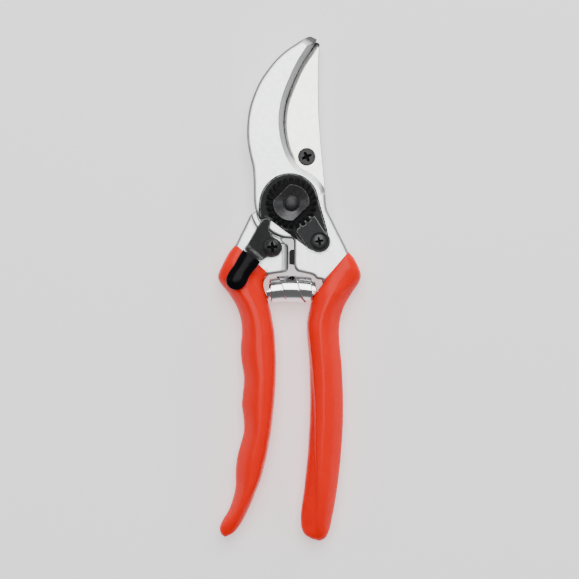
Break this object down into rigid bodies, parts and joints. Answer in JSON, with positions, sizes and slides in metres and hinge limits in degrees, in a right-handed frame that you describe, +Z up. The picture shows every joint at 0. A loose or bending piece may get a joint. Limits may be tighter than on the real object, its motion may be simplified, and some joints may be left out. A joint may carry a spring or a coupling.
{
  "type": "pruning shears",
  "caption": "Forged bypass pruning shears with a crescent counter blade, screwed cutting blade, volute spring, thumb catch and two sleeved handles, closed and locked.",
  "frame": {"origin": "on the pivot axis, on the plane that the bolt's head and the grips rest on", "axes": "+Z up out of the nut side, +Y towards the blade tips, +X to the right seen from above"},
  "size_m": [0.0612, 0.2151, 0.0216],
  "materials": {
    "alloy": "fine sand-blasted satin",
    "blade_steel": "ground and polished",
    "black_steel": "black oxide, satin",
    "black_screws": "black oxide, semi-gloss",
    "grey_steel": "dark grey phosphate",
    "spring_chrome": "polished",
    "red_vinyl": "glossy dipped vinyl",
    "black_vinyl": "glossy dipped vinyl",
    "rubber": "matte",
    "bronze": "sintered, oiled",
    "washer_steel": "plain"
  },
  "bodies": {
    "hook_handle": {"hook_handle": "alloy", "right_grip": "red_vinyl", "pivot_bolt": "black_steel", "toothed_nut": "black_steel", "lock_segment": "grey_steel", "segment_screw": "black_screws", "pivot_plate": "black_steel", "rubber_bumper": "rubber", "volute_spring": "spring_chrome"},
    "blade_handle": {"blade_handle": "alloy", "left_grip": "red_vinyl", "cutting_blade": "blade_steel", "blade_screw": "black_screws", "latch_screw": "black_screws", "latch_washer": "washer_steel", "pivot_bush": "bronze", "bolt_washer": "washer_steel"},
    "latch": {"latch_lever": "black_steel", "latch_sleeve": "black_vinyl"}
  },
  "joints": [
    {"name": "handle_pivot", "type": "hinge", "parent": "hook_handle", "child": "blade_handle", "pos_m": [0, 0, 0.009], "axis": [0, 0, -1], "range_deg": [0, 30], "deforming": ["volute_spring"]},
    {"name": "latch_turn", "type": "hinge", "parent": "blade_handle", "child": "latch", "pos_m": [-0.008, -0.0187, 0.0174], "axis": [0, 0, 1], "range_deg": [0, 30]}
  ]
}
